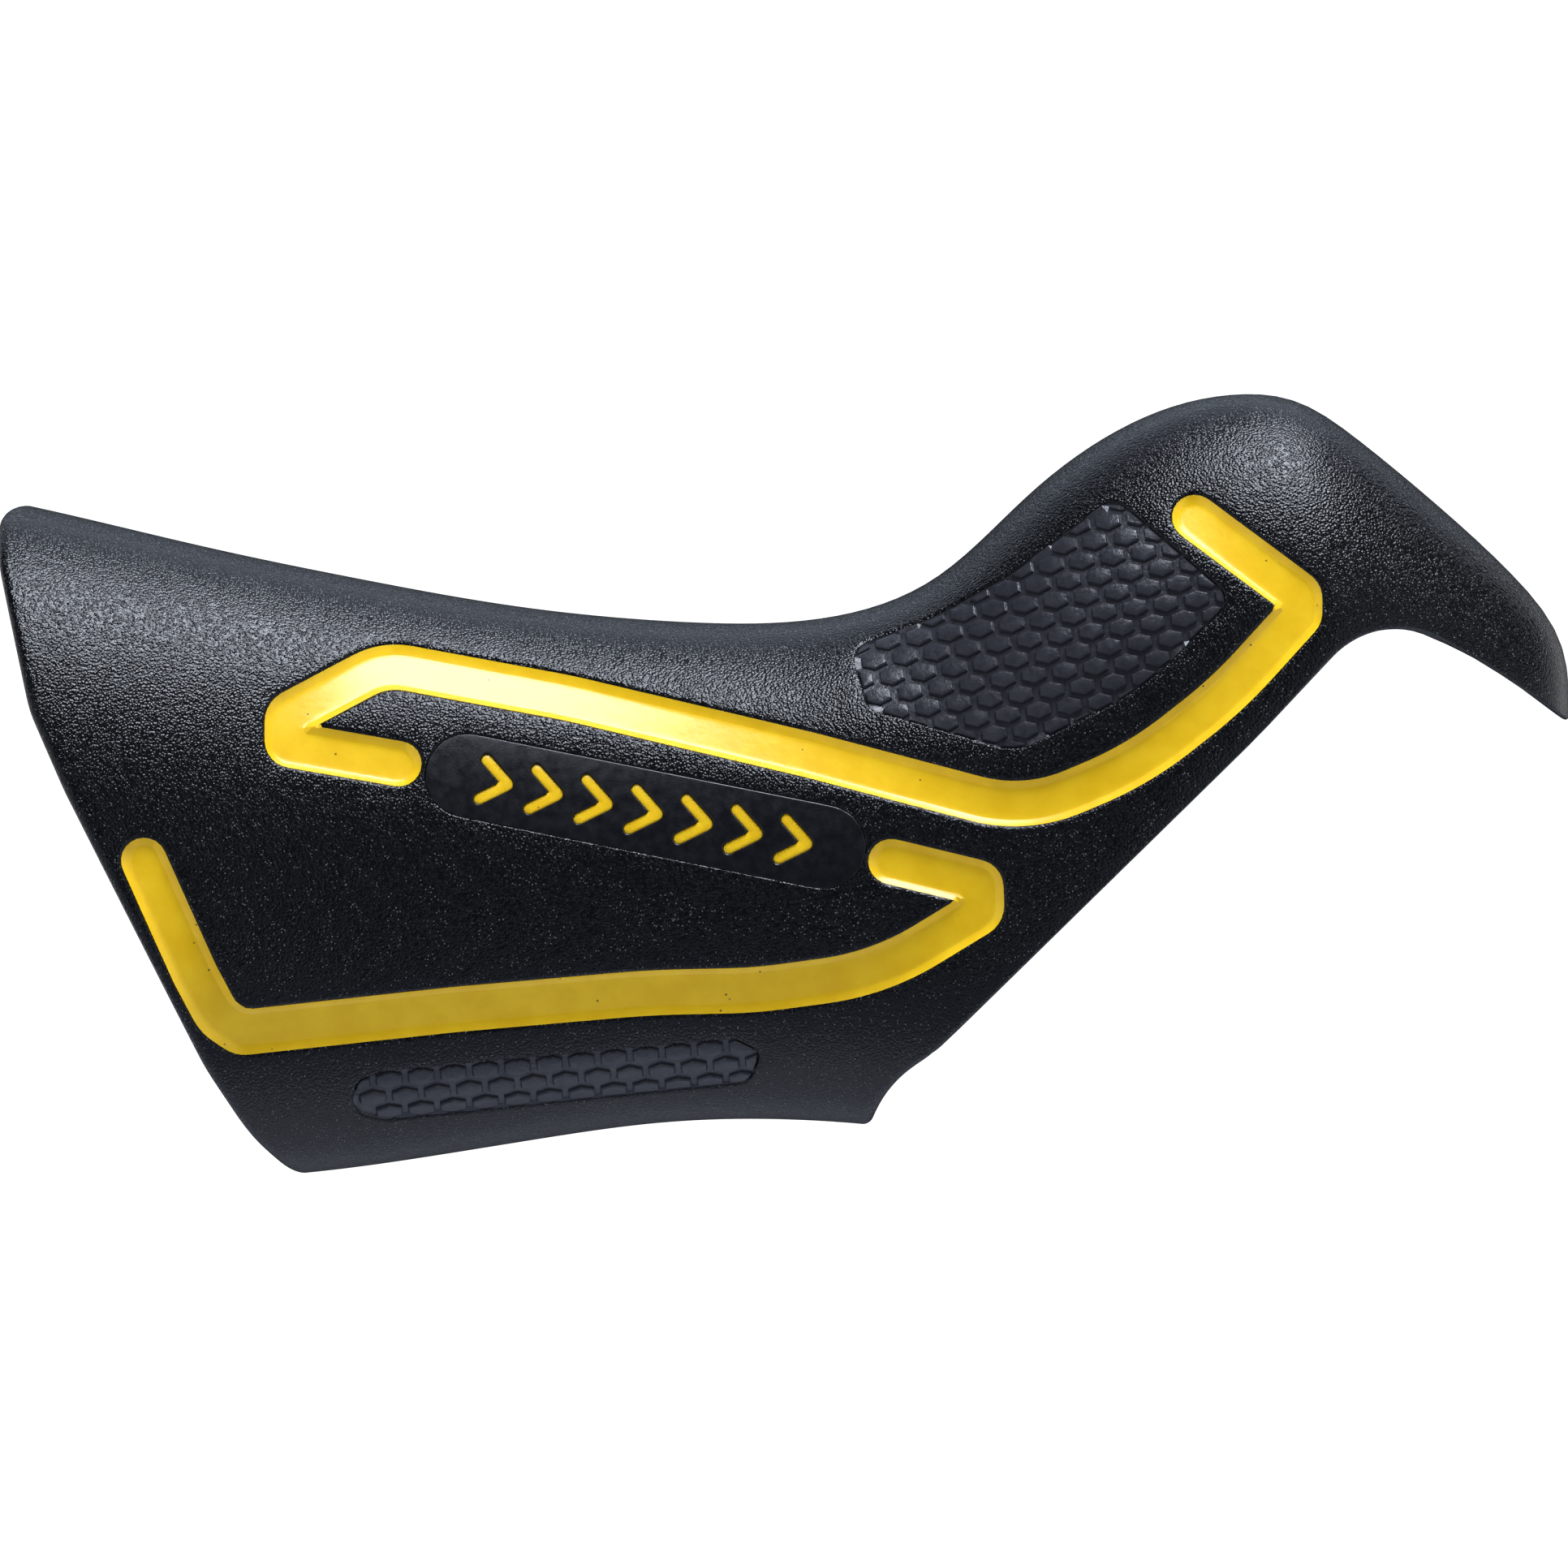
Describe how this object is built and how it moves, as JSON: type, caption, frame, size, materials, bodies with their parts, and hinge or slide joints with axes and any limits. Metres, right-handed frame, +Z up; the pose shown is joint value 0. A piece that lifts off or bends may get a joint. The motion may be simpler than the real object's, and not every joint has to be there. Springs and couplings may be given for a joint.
{
  "type": "brake shift lever hood cover",
  "caption": "Moulded rubber sleeve for a drop-bar brake and shift lever, with a horned front, textured grip pads, glossy recessed stripes and a marked plaque.",
  "frame": {"origin": "centre of the rear opening, where the lever bracket meets the handlebar, on the symmetry plane", "axes": "+X forward along the grip to the horn, +Z up, -Y to the outboard side that the picture shows"},
  "size_m": [0.1305, 0.0432, 0.0647],
  "materials": {
    "pebbled_rubber": "fine pebble grain, matt",
    "smooth_rubber": "smooth, satin",
    "pad_rubber": "smooth studs, half gloss",
    "stripe_silicone": "poured coloured silicone, glossy"
  },
  "bodies": {
    "root": {"hood_sleeve": "pebbled_rubber", "outboard_upper_stripe": "stripe_silicone", "outboard_lower_stripe": "stripe_silicone", "outboard_plaque": "smooth_rubber", "outboard_plaque_marks": "stripe_silicone", "outboard_thumb_pad": "pad_rubber", "outboard_finger_pad": "pad_rubber", "inboard_upper_stripe": "stripe_silicone", "inboard_lower_stripe": "stripe_silicone", "inboard_plaque": "smooth_rubber", "inboard_plaque_marks": "stripe_silicone", "inboard_thumb_pad": "pad_rubber", "inboard_finger_pad": "pad_rubber"}
  },
  "joints": []
}
